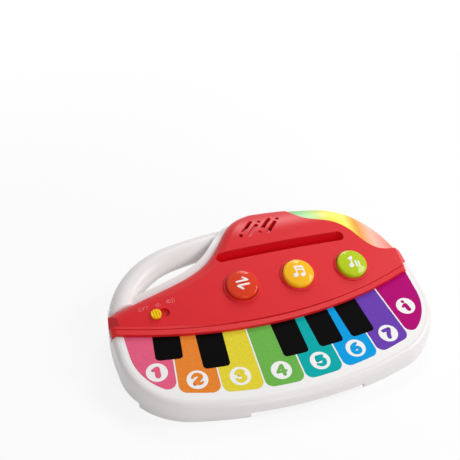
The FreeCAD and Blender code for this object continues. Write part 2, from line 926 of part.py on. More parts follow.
def battery_block(grow, bottom, top):
    half_long = battery_room / 2 + grow
    half_wide = battery_half_depth() + grow
    block = box(-half_long, half_long, -half_wide, half_wide, bottom, top)
    block.translate(point(battery_x, battery_y))
    return block


def lower_housing():
    tray = plan(lower_inset, floor_gap, parting_height)
    tray = tray.cut(plan(lower_inset + wall, floor_gap + wall, sky))
    tongue = plan(wall + fit, floor_gap + wall / 2, parting_height + tongue_height)
    tongue = tongue.common(below_keys(stack_depth + deck_thickness + border_round - wall + fit))
    tray = tray.fuse(tongue.cut(plan(wall + fit + tongue_wall, -far, far)))
    top = cell_axis() + cell_radius + fit
    case = battery_block(battery_box_wall, floor_gap, top + battery_box_wall)
    room = battery_block(0, -overrun, top)
    tray = tray.fuse(case).fuse(feet())
    for x, y in screw_places():
        tray = tray.fuse(cylinder(post_radius, floor_gap, post_meet_height, x, y))
    door_post_x, door_post_y = door_screw_place()
    post_top = floor_gap + wall + screw_reach * 2
    tray = tray.fuse(cylinder(post_radius, floor_gap + wall / 2, post_top, door_post_x, door_post_y))
    for post in lamp_posts():
        tray = tray.fuse(post)
    tray = tray.fuse(door_plate(fit + door_overlap, floor_gap + wall, floor_gap + wall + battery_box_wall))
    tray = tray.cut(room).cut(door_plate(fit, -overrun, floor_gap + wall))
    for x, y in screw_places():
        head = cylinder(screw_head_radius + fit, -overrun, floor_gap + screw_head_height + fit, x, y)
        tray = tray.cut(head).cut(cylinder(screw_shank_radius + screw_fit, -overrun, sky, x, y))
    bore = cylinder(screw_shank_radius + screw_fit, -overrun, post_top - wall, door_post_x, door_post_y)
    return tray.cut(bore)


def door_plate(grow, bottom, top):
    reach = door_overlap - battery_box_wall / 2 + grow
    tab = battery_block(reach, bottom, top)
    tab.translate(point(door_tab))
    return battery_block(reach, bottom, top).fuse(tab)


def door_screw_place():
    return battery_x + battery_room / 2 + battery_box_wall + post_radius - fit, battery_y


def battery_door():
    door = door_plate(0, floor_gap, floor_gap + door_thickness)
    for i in range(door_groove_count):
        y = battery_y + (i - (door_groove_count - 1) / 2) * door_groove_pitch
        x = battery_x - battery_room / 4
        half = door_groove / 2
        groove = box(x, x + door_groove_length, y - half, y + half, -overrun, floor_gap + half)
        door = door.cut(groove)
    x, y = door_screw_place()
    head = cylinder(screw_head_radius + fit, -overrun, floor_gap + screw_head_height / 2, x, y)
    return door.cut(head).cut(cylinder(screw_shank_radius + screw_fit, -overrun, sky, x, y))


def screw(x, y, bottom, length):
    head = cylinder(screw_head_radius, bottom, bottom + screw_head_height, x, y)
    half = screw_slot / 2
    for turn in (0, 90):
        cut = box(-far, far, -half, half, -overrun, bottom + screw_head_height / 2)
        cut.rotate(point(0, 0), point(0, 0, 1), turn)
        cut.translate(point(x, y))
        head = head.cut(cut)
    return head.fuse(cylinder(screw_shank_radius, bottom + screw_head_height, bottom + length, x, y))


def housing_screw(index):
    x, y = screw_places()[index]
    return screw(x, y, floor_gap, post_meet_height + screw_reach / 2 - floor_gap)


def door_screw():
    x, y = door_screw_place()
    bottom = floor_gap - screw_head_height / 2
    return screw(x, y, bottom, screw_head_height + door_thickness + screw_reach)


def battery(index):
    x = battery_x - cell_length / 2
    y = battery_y + (index - (cell_count - 1) / 2) * cell_pitch
    cell = Part.makeCylinder(cell_radius, cell_length, point(x, y, cell_axis()), point(1, 0))
    tip = point(x + cell_length, y, cell_axis())
    cell = cell.fuse(Part.makeCylinder(cell_nub_radius, cell_nub_length, tip, point(1, 0)))
    if index % 2:
        cell.rotate(point(battery_x, y), point(0, 0, 1), 180)
    return cell


def battery_contact(side):
    edge = battery_x + side * (battery_room / 2 - fit)
    inner = edge - side * contact_thickness
    half_wide = battery_half_depth() - fit
    low = cell_axis() - contact_height / 2
    strip = box(min(edge, inner), max(edge, inner), battery_y - half_wide, battery_y + half_wide,
                low, low + contact_height)
    for index in range(cell_count):
        y = battery_y + (index - (cell_count - 1) / 2) * cell_pitch
        nub_side = -1 if index % 2 else 1
        gap = battery_room / 2 - cell_length / 2 - contact_thickness - fit * 2
        reach = gap - cell_nub_length if nub_side == side else gap
        spring = Part.makeCone(contact_spring_radius, contact_spring_radius / 2, reach,
                               point(inner, y, cell_axis()), point(-side, 0))
        strip = strip.fuse(spring)
    return strip


# Lamps

def lamp_board():
    ring = prism(outline(lamp_board_inset), lamp_board_height, lamp_board_height + circuit_thickness)
    ring = ring.cut(prism(outline(lamp_board_inset + lamp_board_width), -far, far))
    left = half_width * lamp_board_x_share
    front = half_depth * lamp_board_y_share
    return ring.common(box(left, far, front, far, -far, far))


def lamp_places():
    return [from_shares(shares) for shares in lamp_shares]


def lamp(index):
    x, y = lamp_places()[index]
    bottom = lamp_board_height + circuit_thickness
    body = cylinder(lamp_radius, bottom, bottom + lamp_height - lamp_radius, x, y)
    return body.fuse(Part.makeSphere(lamp_radius, point(x, y, bottom + lamp_height - lamp_radius)))


def lamp_posts():
    places = [lamp_places()[0], lamp_places()[-1]]
    return [cylinder(lamp_post_radius, floor_gap, lamp_board_height, x, y) for x, y in places]


def export(name, shape):
    shape = single(shape.removeSplitter())
    shape.exportStep("parts/" + name + ".step")
    print(name, len(shape.Solids), "solids", round(shape.Volume), "valid", shape.isValid())


os.makedirs("parts", exist_ok=True)
export("upper_housing", upper_housing())
export("lower_housing", lower_housing())
export("handle_upper_shell", handle_shell(close_fit, 0, True))
export("handle_lower_shell", handle_shell(fit, fit / 2, False))
export("top_cover", top_cover())
export("card_pocket", card_pocket())
export("light_window", light_window())
export("film_frame", key_sheet(-film_thickness, 0, True))
export("key_spacer", key_sheet(-film_thickness - spacer_thickness, -film_thickness, True))
export("key_board", key_sheet(-stack_depth, -film_thickness - spacer_thickness, False))
for number in range(8):
    export("key_%d" % (number + 1), key(number))
for number in range(len(black_lines)):
    export("black_key_%d" % (number + 1), black_key(number))
for number, place in enumerate(button_places()):
    export("button_%d" % (number + 1), on_cover(button(), place[0], place[1]))
    export("tact_switch_%d" % (number + 1), tact_switch(place[0]))
export("button_board", button_board())
export("switch_knob", switch_knob())
export("switch_body", switch_body())
export("speaker_basket", speaker_basket())
export("speaker_cone", speaker_cone())
export("speaker_magnet", speaker_magnet())
export("lamp_board", lamp_board())
for number in range(len(lamp_shares)):
    export("lamp_%d" % (number + 1), lamp(number))
for number in range(cell_count):
    export("battery_%d" % (number + 1), battery(number))
export("battery_contact_left", battery_contact(-1))
export("battery_contact_right", battery_contact(1))
export("battery_door", battery_door())
export("door_screw", door_screw())
for number in range(len(screw_place_shares)):
    export("housing_screw_%d" % (number + 1), housing_screw(number))
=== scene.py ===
# %% [markdown]
# A battery toy piano, dressed for a studio picture.
# The solid parts come in as a imported frame: the white housing, the red cover, the keys and the buttons
# already have their real shapes. What is left for Blender is what a printer and a moulder add: the inks,
# the raised marks, and the way each plastic takes the light. The box of the frame is kept; the rays that
# find the handle's shoulder start above it. The box of the frame is kept, because nothing added here may
# stand out of it.

# %% Load the frame
import json
import math

import bmesh
import bpy
from mathutils import Euler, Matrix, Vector


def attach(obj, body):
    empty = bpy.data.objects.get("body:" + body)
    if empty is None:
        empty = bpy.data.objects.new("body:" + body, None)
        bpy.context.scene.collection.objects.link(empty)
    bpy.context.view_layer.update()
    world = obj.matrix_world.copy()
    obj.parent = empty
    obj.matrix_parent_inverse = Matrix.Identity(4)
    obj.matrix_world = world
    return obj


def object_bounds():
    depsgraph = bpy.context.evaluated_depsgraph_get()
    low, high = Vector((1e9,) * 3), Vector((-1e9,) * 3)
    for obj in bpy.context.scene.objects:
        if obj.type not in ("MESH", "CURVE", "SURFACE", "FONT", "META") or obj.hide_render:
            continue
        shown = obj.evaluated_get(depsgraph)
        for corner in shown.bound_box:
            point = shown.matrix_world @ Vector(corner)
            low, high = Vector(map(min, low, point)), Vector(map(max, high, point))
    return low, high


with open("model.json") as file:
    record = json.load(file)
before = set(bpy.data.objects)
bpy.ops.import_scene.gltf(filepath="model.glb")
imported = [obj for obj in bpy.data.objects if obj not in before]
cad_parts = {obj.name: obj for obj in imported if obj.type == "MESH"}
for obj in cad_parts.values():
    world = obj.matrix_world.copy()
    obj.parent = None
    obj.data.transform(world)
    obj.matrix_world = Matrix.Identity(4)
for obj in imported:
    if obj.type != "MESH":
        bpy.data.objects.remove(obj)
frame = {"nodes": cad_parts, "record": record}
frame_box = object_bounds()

scene = bpy.context.scene
scene.view_settings.view_transform = "Standard"
MM = 0.001
print("frame box in mm:", [[round(v / MM, 1) for v in corner] for corner in frame_box])

# %% [markdown]
# The camera stands where the photographer stood: to the left of the keys, well above them, and turned a
# little on its own axis. The picture is square. The lens shift is there because the toy sits low and to
# the right in the picture, and a shift moves the picture without bending its upright lines.

# %% Camera
CAMERA_PLACE_MM = (-209.4, -469.8, 476.6)
CAMERA_TURN_DEGREES = (51.045, -3.697, -22.287)
CAMERA_LENS_MM = 69.24
CAMERA_SHIFT = (-0.1276, 0.0904)

camera = bpy.data.objects.new("camera", bpy.data.cameras.new("camera"))
scene.collection.objects.link(camera)
camera.location = Vector(CAMERA_PLACE_MM) * MM
camera.rotation_euler = Euler([math.radians(angle) for angle in CAMERA_TURN_DEGREES])
camera.data.lens = CAMERA_LENS_MM
camera.data.sensor_width = 36.0
camera.data.shift_x, camera.data.shift_y = CAMERA_SHIFT
scene.camera = camera
print("camera", round(camera.location.length, 3), "m from the middle of the floor under the toy")

# %% [markdown]
# Two helpers carry all the materials. The first turns a colour as a designer writes it, in sRGB hex, into
# the linear light that shaders count in. The second adds one node to a tree, sets it and wires it, so that
# a material reads as a list of what feeds what.

# %% Helpers for materials
def linear(hex_colour):
    parts = [int(hex_colour[i:i + 2], 16) / 255 for i in (1, 3, 5)]
    return [p / 12.92 if p <= 0.04045 else ((p + 0.055) / 1.055) ** 2.4 for p in parts] + [1.0]


def add(tree, kind, inputs, **settings):
    node = tree.nodes.new(kind)
    for name, value in settings.items():
        setattr(node, name, value)
    for name, value in inputs.items():
        if isinstance(value, bpy.types.NodeSocket):
            tree.links.new(value, node.inputs[name])
        else:
            node.inputs[name].default_value = value
    return node


def new_tree(name):
    material = bpy.data.materials.new(name)
    material.use_nodes = True
    material.node_tree.nodes.clear()
    return material, material.node_tree


def per_metre(size_mm):
    return 1 / (size_mm * MM)


print("red of the cover in linear light:", [round(v, 3) for v in linear("#DE373A")])

# %% [markdown]
# Nearly everything one can touch is ABS, moulded in a steel tool. Its colour goes right through, so it has
# no edge wear, and it varies only a little where the melt cooled slowly. The steel was spark-eroded or
# polished: the first leaves a fine grain that softens the highlight, the second a clear gloss.
# One recipe covers both, with the grain's size in millimetres and its depth as the settings.

# %% Moulded plastics
GLOW_MM = 3.0
GLOW_REACH = (1.0, 0.35, 0.30)


def moulded(name, colour, cool_colour, roughness, grain_mm, grain_depth_mm, cloud_mm=45, mirror=0.5, glow=0.0,
            painted_glow_strength=0.0):
    material, tree = new_tree(name)
    place = add(tree, "ShaderNodeTexCoord", {}).outputs["Object"]
    cloud = add(tree, "ShaderNodeTexNoise", {"Vector": place, "Scale": per_metre(cloud_mm), "Detail": 2.0})
    tone = add(tree, "ShaderNodeMix", {0: cloud.outputs["Fac"], 6: linear(colour), 7: linear(cool_colour)},
               data_type="RGBA")
    grain = add(tree, "ShaderNodeTexNoise", {"Vector": place, "Scale": per_metre(grain_mm), "Detail": 3.0})
    gloss = add(tree, "ShaderNodeMapRange", {"Value": grain.outputs["Fac"], "To Min": roughness - 0.05,
                                             "To Max": roughness + 0.05})
    relief = add(tree, "ShaderNodeBump", {"Height": grain.outputs["Fac"], "Distance": grain_depth_mm * MM,
                                          "Strength": 1.0})
    # Emission here is a painted glow: any strength above 0 makes the plastic give light of its own tone, though it is
    # no lamp.
    skin = add(tree, "ShaderNodeBsdfPrincipled", {"Base Color": tone.outputs[2], "IOR": 1.53,
                                                  "Roughness": gloss.outputs["Result"],
                                                  "Specular IOR Level": mirror, "Subsurface Weight": glow,
                                                  "Subsurface Radius": GLOW_REACH,
                                                  "Subsurface Scale": GLOW_MM * MM,
                                                  "Emission Color": tone.outputs[2], "Emission Strength": painted_glow_strength,
                                                  "Normal": relief.outputs["Normal"]})
    add(tree, "ShaderNodeOutputMaterial", {"Surface": skin.outputs["BSDF"]})
    return material


finishes = {
    # White ABS from a finely eroded tool: a soft wide highlight along every rounded edge.
    "white_plastic": moulded("ABS white, eroded tool", "#EEEAE9", "#E8E3E3", 0.34, 0.7, 0.006, mirror=0.35),
    # Red ABS, the same tool finish: satin, with the colour a little deeper where the wall is thick.
    "red_plastic": moulded("ABS red, eroded tool", "#DC1E26", "#D71822", 0.38, 0.7, 0.008, mirror=0.28, glow=0.2),
    # The same red, a little darker, with a painted glow that lightens the shaded inside of the deep card pocket.
    "red_painted_glow": moulded("ABS red, painted glow", "#D4101C", "#CC0A18", 0.42, 0.7, 0.008, mirror=0.22, glow=0.2,
                       painted_glow_strength=0.16),
    # Buttons from a polished tool: a clear gloss with small sharp highlights.
    "button_1": moulded("ABS orange, polished tool", "#E03804", "#DB3202", 0.08, 3.0, 0.0003, mirror=0.24),
    "button_2": moulded("ABS yellow, polished tool", "#FDBE00", "#F9B700", 0.08, 3.0, 0.0003, mirror=0.24),
    "button_3": moulded("ABS lime, polished tool", "#BACF00", "#B2C900", 0.08, 3.0, 0.0003, mirror=0.24),
    "switch_yellow": moulded("ABS amber, eroded tool", "#FFD60A", "#FFCE00", 0.32, 0.5, 0.005, mirror=0.25, glow=0.3),
    # Black parts of the switches, filled nylon: dull and slightly uneven.
    "dark_plastic": moulded("nylon black, filled", "#26262A", "#1C1C20", 0.55, 0.5, 0.010),
}
print(len(finishes), "moulded plastics")

# %% [markdown]
# The keyboard is a printed polyester film over a contact board. The ink is on the back of a matte film, so
# the colour is strong, but the film's grain scatters light into fine lighter and darker specks. The real
# grain is about a tenth of a millimetre, too fine for this picture, so it is drawn at about a millimetre.

# %% Printed key film
FILM_GRAIN_MM = 1.1
KEY_COLOURS = ["#E55F82", "#E88430", "#E3D236", "#6CB24C", "#00A8A8", "#009CE0", "#6A3EAC", "#B00070"]


def printed_film(name, colour, light, dark, roughness=0.55, mirror=0.05):
    material, tree = new_tree(name)
    place = add(tree, "ShaderNodeTexCoord", {}).outputs["Object"]
    grain = add(tree, "ShaderNodeTexNoise", {"Vector": place, "Scale": per_metre(FILM_GRAIN_MM),
                                             "Detail": 2.0, "Roughness": 0.7})
    speck = add(tree, "ShaderNodeMapRange", {"Value": grain.outputs["Fac"], "From Min": 0.3, "From Max": 0.7,
                                             "To Min": dark, "To Max": light})
    ink = add(tree, "ShaderNodeHueSaturation", {"Color": linear(colour), "Value": speck.outputs["Result"]})
    relief = add(tree, "ShaderNodeBump", {"Height": grain.outputs["Fac"], "Distance": 0.012 * MM,
                                          "Strength": 1.0})
    skin = add(tree, "ShaderNodeBsdfPrincipled", {"Base Color": ink.outputs["Color"], "Roughness": roughness,
                                                  "IOR": 1.57, "Specular IOR Level": mirror,
                                                  "Normal": relief.outputs["Normal"]})
    add(tree, "ShaderNodeOutputMaterial", {"Surface": skin.outputs["BSDF"]})
    return material


for number, colour in enumerate(KEY_COLOURS, 1):
    finishes[f"key_{number}"] = printed_film(f"polyester film, ink {number}", colour, 1.10, 0.90)
finishes["black_key"] = printed_film("polyester film, black ink", "#050404", 1.8, 0.6, 0.6, 0.02)
finishes["film_white"] = printed_film("polyester film, white ink", "#F3F1F0", 1.01, 0.98)
print(len(KEY_COLOURS) + 2, "printed films")

# %% [markdown]
# The window at the rear right is a frosted shell with three small lamps behind it. Light from a lamp fades
# along the shell into the next one's colour, from green at the middle of the back to red at the end. A ramp
# along the toy's width gives these colours, and the same ramp feeds the emission, since the shell itself
# seems to give the light.

# %% Lamp window
WINDOW_START_MM = 38.0
WINDOW_END_MM = 118.0
WINDOW_GLOW = 0.3
WINDOW_COLOURS = [(0.00, "#5FA35F"), (0.20, "#86BC78"), (0.32, "#A9BE4A"), (0.44, "#E3CB1C"),
                  (0.57, "#FFE25A"), (0.68, "#F08C0E"), (0.80, "#F4A894"), (1.00, "#DE5552")]

material, tree = new_tree("polycarbonate frosted, lamps lit behind")
place = add(tree, "ShaderNodeTexCoord", {}).outputs["Object"]
across = add(tree, "ShaderNodeSeparateXYZ", {"Vector": place}).outputs["X"]
share = add(tree, "ShaderNodeMapRange", {"Value": across, "From Min": WINDOW_START_MM * MM,
                                         "From Max": WINDOW_END_MM * MM})
ramp = add(tree, "ShaderNodeValToRGB", {"Fac": share.outputs["Result"]})
for position, colour in WINDOW_COLOURS[1:-1]:
    ramp.color_ramp.elements.new(position)
for stop, (position, colour) in zip(ramp.color_ramp.elements, WINDOW_COLOURS):
    stop.position, stop.color = position, linear(colour)
frost = add(tree, "ShaderNodeTexNoise", {"Vector": place, "Scale": per_metre(0.8), "Detail": 3.0})
relief = add(tree, "ShaderNodeBump", {"Height": frost.outputs["Fac"], "Distance": 0.01 * MM, "Strength": 1.0})
skin = add(tree, "ShaderNodeBsdfPrincipled", {"Base Color": ramp.outputs["Color"], "Roughness": 0.38,
                                              "IOR": 1.58, "Emission Color": ramp.outputs["Color"],
                                              "Emission Strength": WINDOW_GLOW,
                                              "Normal": relief.outputs["Normal"]})
add(tree, "ShaderNodeOutputMaterial", {"Surface": skin.outputs["BSDF"]})
finishes["lamp_window"] = material
print("window colours:", len(WINDOW_COLOURS))

# %% [markdown]
# The rest hides inside or underneath: circuit boards, screws, contacts, cells, the loudspeaker. They show
# through the grille or with the battery door off, so each gets the finish of the real thing, the cone with painted
# light added.

# %% Inner materials
# Green solder mask over glass cloth: glossy, with a faint weave.
finishes["board_green"] = moulded("FR4 board, solder mask", "#2F6B45", "#275C3A", 0.30, 1.2, 0.010, 20)
# Pressed film of a small loudspeaker cone, milky. Its rose tint is a painted reflection of the red cover and its glow
# is painted light, so the grille shows rose.
finishes["cone_paper"] = moulded("polyester cone, painted rose glow", "#D0606A", "#C4545E", 0.55, 0.6, 0.020, 6, painted_glow_strength=0.8)
# Clear epoxy of a lamp: water-white and glossy.
finishes["lamp_clear"] = moulded("epoxy lamp, clear", "#F1F2EC", "#E4E8E0", 0.10, 1.5, 0.001)

for slot, name, colour, streak, roughness in (
        # Zinc-plated steel, drawn and stamped: fine streaks along the sheet.
        ("steel", "steel, zinc plated", "#B9BABD", "#A4A6AA", 0.32),
        # Lacquered steel can of a cell.
        ("cell_wrap", "steel can, lacquered", "#3B4148", "#333940", 0.28)):
    material, tree = new_tree(name)
    place = add(tree, "ShaderNodeTexCoord", {}).outputs["Object"]
    drawn = add(tree, "ShaderNodeMapping", {"Vector": place, "Scale": (1.0, 12.0, 12.0)})
    lines = add(tree, "ShaderNodeTexNoise", {"Vector": drawn.outputs["Vector"], "Scale": per_metre(6),
                                             "Detail": 3.0})
    tone = add(tree, "ShaderNodeMix", {0: lines.outputs["Fac"], 6: linear(colour), 7: linear(streak)},
               data_type="RGBA")
    gloss = add(tree, "ShaderNodeMapRange", {"Value": lines.outputs["Fac"], "To Min": roughness - 0.06,
                                             "To Max": roughness + 0.06})
    skin = add(tree, "ShaderNodeBsdfPrincipled", {"Base Color": tone.outputs[2], "Metallic": 1.0,
                                                  "Roughness": gloss.outputs["Result"]})
    add(tree, "ShaderNodeOutputMaterial", {"Surface": skin.outputs["BSDF"]})
    finishes[slot] = material
print(len(finishes), "finishes in all")

# %% [markdown]
# The imported record says which slot each solid takes its finish from, so the finishes go on by that list.
# The card pocket takes the darker red with a painted glow instead, which lightens its shaded inside.

# %% Dress the solids
# The card pocket's shaded inside gets a painted glow.
PAINTED_GLOW_PARTS = {"card_pocket": "red_painted_glow"}
dressed = 0
for row in frame["record"]["subparts"]:
    solid = frame["nodes"][row["node"]]
    if not solid.material_slots:
        solid.data.materials.append(None)
    for slot in solid.material_slots:
        slot.material = finishes[PAINTED_GLOW_PARTS.get(row["node"], row["material_slot"])]
    dressed += 1
print(dressed, "solids dressed")

# %% [markdown]
# Numbers, button signs and switch marks are all brush strokes: a path with a width that swells and thins.
# A Geometry Nodes tree lays a round section along each path and presses it flat to the height of an ink
# layer or of a raised mark. It is a good case for nodes, because every sign uses the same rule and only the
# paths differ. A second tree makes the white discs behind the numbers.

# %% Node trees for strokes and discs
def group(name, sizes):
    tree = bpy.data.node_groups.new(name, "GeometryNodeTree")
    tree.interface.new_socket("Geometry", in_out="INPUT", socket_type="NodeSocketGeometry")
    for size in sizes:
        tree.interface.new_socket(size, in_out="INPUT", socket_type="NodeSocketFloat")
    tree.interface.new_socket("Ink", in_out="INPUT", socket_type="NodeSocketMaterial")
    tree.interface.new_socket("Geometry", in_out="OUTPUT", socket_type="NodeSocketGeometry")
    return tree, add(tree, "NodeGroupInput", {}).outputs


def close_group(tree, geometry, ink):
    whole = add(tree, "GeometryNodeRealizeInstances", {"Geometry": geometry})
    inked = add(tree, "GeometryNodeSetMaterial", {"Geometry": whole.outputs["Geometry"], "Material": ink})
    add(tree, "NodeGroupOutput", {"Geometry": inked.outputs["Geometry"]})


stroke_tree, given = group("brush stroke", ["Flatness", "Step"])
even = add(stroke_tree, "GeometryNodeResampleCurve", {"Curve": given["Geometry"], "Length": given["Step"]},
           mode="LENGTH")
width = add(stroke_tree, "GeometryNodeInputRadius", {}).outputs["Radius"]
section = add(stroke_tree, "GeometryNodeCurvePrimitiveCircle", {"Resolution": 12, "Radius": 1.0})
tube = add(stroke_tree, "GeometryNodeCurveToMesh", {"Curve": even.outputs["Curve"], "Scale": width,
                                                    "Profile Curve": section.outputs["Curve"]})
ends = add(stroke_tree, "GeometryNodeCurveEndpointSelection", {})
ball = add(stroke_tree, "GeometryNodeMeshUVSphere", {"Segments": 12, "Rings": 6, "Radius": 1.0})
caps = add(stroke_tree, "GeometryNodeInstanceOnPoints", {"Points": even.outputs["Curve"], "Scale": width,
                                                         "Selection": ends.outputs["Selection"],
                                                         "Instance": ball.outputs["Mesh"]})
both = add(stroke_tree, "GeometryNodeJoinGeometry", {"Geometry": tube.outputs["Mesh"]})
stroke_tree.links.new(caps.outputs["Instances"], both.inputs["Geometry"])
press = add(stroke_tree, "ShaderNodeCombineXYZ", {"X": 1.0, "Y": 1.0, "Z": given["Flatness"]})
flat = add(stroke_tree, "GeometryNodeTransform", {"Geometry": both.outputs["Geometry"],
                                                  "Scale": press.outputs["Vector"]})
close_group(stroke_tree, flat.outputs["Geometry"], given["Ink"])

disc_tree, given = group("printed disc", ["Radius", "Thickness"])
rim = add(disc_tree, "GeometryNodeCurvePrimitiveCircle", {"Resolution": 72, "Radius": given["Radius"]})
sheet = add(disc_tree, "GeometryNodeFillCurve", {"Curve": rim.outputs["Curve"]}, mode="NGONS")
rise = add(disc_tree, "ShaderNodeCombineXYZ", {"Z": given["Thickness"]})
raised = add(disc_tree, "GeometryNodeExtrudeMesh", {"Mesh": sheet.outputs["Mesh"], "Individual": False,
                                                    "Offset": rise.outputs["Vector"],
                                                    "Offset Scale": 1.0})
close_group(disc_tree, raised.outputs["Mesh"], given["Ink"])
print("node trees:", stroke_tree.name, "and", disc_tree.name)

# %% [markdown]
# A helper runs a tree on some paths and gives back a plain mesh. Each point of a path is written in
# millimetres as across, up, half width. The mesh then goes onto its carrier by a rule that takes each
# point (across, up, height) to its place in the frame, so the same sign can lie on a flat key, follow the
# dome of a button or run over the crowned cover.

# %% Make a sign and lay it on a surface
STROKE_STEP_MM = 0.35


def drawn_paths(name, paths, weight=1.0):
    curve = bpy.data.curves.new(name, "CURVE")
    curve.dimensions = "3D"
    for bent, points in paths:
        spline = curve.splines.new("NURBS" if bent else "POLY")
        spline.points.add(len(points) - 1)
        for spot, (across, up, half_width) in zip(spline.points, points):
            spot.co = (across * MM, up * MM, 0.0, 1.0)
            spot.radius = half_width * weight * MM
        if bent:
            spline.order_u = 3
            spline.use_endpoint_u = True
    return bpy.data.objects.new(name, curve)


def make_sign(name, carrier, tree, sizes, ink, place):
    scene.collection.objects.link(carrier)
    nodes = carrier.modifiers.new("sign", "NODES")
    nodes.node_group = tree
    values = dict(sizes, Ink=ink)
    for socket in tree.interface.items_tree:
        if socket.in_out == "INPUT" and socket.name in values:
            nodes[socket.identifier] = values[socket.name]
    ready = carrier.evaluated_get(bpy.context.evaluated_depsgraph_get())
    mesh = bpy.data.meshes.new_from_object(ready)
    bpy.data.objects.remove(carrier)
    for vertex in mesh.vertices:
        vertex.co = place(*vertex.co)
    for face in mesh.polygons:
        face.use_smooth = len(face.vertices) < 5
    piece = bpy.data.objects.new(name, mesh)
    scene.collection.objects.link(piece)
    return piece


print("signs are drawn with a point every", STROKE_STEP_MM, "mm")

# %% [markdown]
# Each coloured key carries a white disc with its number, in the key's own ink, near the front of the key.
# The numbers run along the fan of the keys, so each is turned with its key. They sit on the tilted plane of
# the keyboard and ride on the key, so they go down with it when it is pressed.

# %% Key numbers
KEY_TILT = math.radians(12)
KEY_HEIGHT_MM = 32.7
KEY_FAN_STEP = 30.6 / 613
DISC_RADIUS_MM = 7.7
INK_MM = 0.06
DISC_PLACES_MM = [(-101.6, -38.6), (-76.0, -51.8), (-45.7, -57.0), (-15.4, -60.3),
                  (15.4, -60.3), (45.7, -57.3), (76.0, -51.6), (101.0, -31.7)]
BENT, STRAIGHT = True, False
NUMBER_WEIGHT = 1.2
NUMBERS = {
    1: [(STRAIGHT, [(0.3, 2.9, 1.75), (0.7, -3.0, 1.75)]), (STRAIGHT, [(-0.3, 3.2, 1.3), (-2.9, 1.6, 1.0)])],
    2: [(BENT, [(-3.2, 2.0, 0.9), (-1.9, 4.2, 1.3), (1.6, 4.2, 1.4), (3.0, 1.9, 1.5), (0.6, -0.4, 1.4),
                (-1.9, -2.2, 1.3), (-2.2, -3.2, 1.3)]),
        (BENT, [(-2.2, -3.2, 1.3), (-0.2, -2.5, 1.2), (1.4, -3.9, 1.2), (3.6, -2.5, 0.7)])],
    3: [(BENT, [(-2.9, 2.3, 0.9), (-1.4, 4.3, 1.3), (2.3, 4.1, 1.4), (2.2, 1.3, 1.4), (-0.8, 0.6, 1.1)]),
        (BENT, [(-0.8, 0.6, 1.1), (2.6, 0.5, 1.4), (3.2, -2.6, 1.5), (0.6, -4.4, 1.4), (-2.0, -3.7, 1.2),
                (-3.1, -2.2, 0.9)])],
    4: [(STRAIGHT, [(1.0, 3.9, 1.0), (-3.2, -1.3, 0.9)]), (STRAIGHT, [(-3.2, -1.3, 0.9), (3.4, -1.2, 0.9)]),
        (STRAIGHT, [(1.5, 3.6, 1.05), (1.4, -3.9, 1.2)])],
    5: [(STRAIGHT, [(2.7, 3.6, 1.1), (-1.5, 3.3, 1.3)]), (STRAIGHT, [(-1.5, 3.3, 1.3), (-1.9, 0.5, 1.3)]),
        (BENT, [(-1.9, 0.5, 1.3), (0.2, 1.4, 1.3), (3.2, 0.6, 1.4), (2.8, -3.0, 1.5), (-0.2, -4.3, 1.3),
                (-2.9, -2.6, 0.9)])],
    6: [(BENT, [(1.9, 3.9, 1.0), (-1.2, 3.0, 1.4), (-3.1, -0.6, 1.5), (-2.2, -3.9, 1.5), (1.4, -4.2, 1.4),
                (3.1, -2.2, 1.3), (2.0, 0.3, 1.3), (-0.4, 0.4, 1.2), (-2.0, -1.2, 1.1)])],
    7: [(STRAIGHT, [(-2.6, 3.2, 1.3), (2.3, 3.3, 1.4)]),
        (BENT, [(2.3, 3.3, 1.4), (1.0, 0.8, 1.5), (-0.4, -1.2, 1.5), (-0.9, -3.6, 1.4)])],
    8: [(STRAIGHT, [(0.3, 0.9, 1.6), (0.6, -3.7, 1.6)]), (STRAIGHT, [(-0.2, 1.2, 1.1), (-2.4, 0.2, 0.9)]),
        (STRAIGHT, [(0.0, 4.5, 1.2), (0.15, 4.4, 1.2)])],
}


def key_face(place_mm, turn, lift_mm):
    x0, y0 = place_mm
    along = y0 / math.cos(KEY_TILT)

    def place(across, up, height):
        x = x0 * MM + across * math.cos(turn) - up * math.sin(turn)
        v = along * MM + across * math.sin(turn) + up * math.cos(turn)
        h = height + lift_mm * MM
        return Vector((x, v * math.cos(KEY_TILT) - h * math.sin(KEY_TILT),
                       KEY_HEIGHT_MM * MM + v * math.sin(KEY_TILT) + h * math.cos(KEY_TILT)))
    return place


def plain_carrier(name):
    return bpy.data.objects.new(name, bpy.data.meshes.new(name))


stroke_sizes = {"Flatness": INK_MM / 1.3, "Step": STROKE_STEP_MM * MM}
disc_sizes = {"Radius": DISC_RADIUS_MM * MM, "Thickness": INK_MM * MM}
for number, spot in enumerate(DISC_PLACES_MM, 1):
    turn = (number - 4.5) * KEY_FAN_STEP
    name = f"key_{number}"
    disc = make_sign(f"{name}_disc", plain_carrier(name), disc_tree, disc_sizes, finishes["film_white"],
                     key_face(spot, turn, 0.01))
    digit = make_sign(f"{name}_number", drawn_paths(name, NUMBERS[number], NUMBER_WEIGHT), stroke_tree,
                      stroke_sizes, finishes[name], key_face(spot, turn, 0.01 + INK_MM))
    for piece, slot in ((disc, "film_white"), (digit, name)):
        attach(piece, name)
print("numbers on", len(DISC_PLACES_MM), "keys")

# %% [markdown]
# The three buttons each have a white sign, pad-printed onto the dome: two half arrows for changing over, a
# pair of joined notes, and a note with two bars. Pad printing wraps a flat sign over a curved face, so each
# point is lifted to the height of the dome under it.

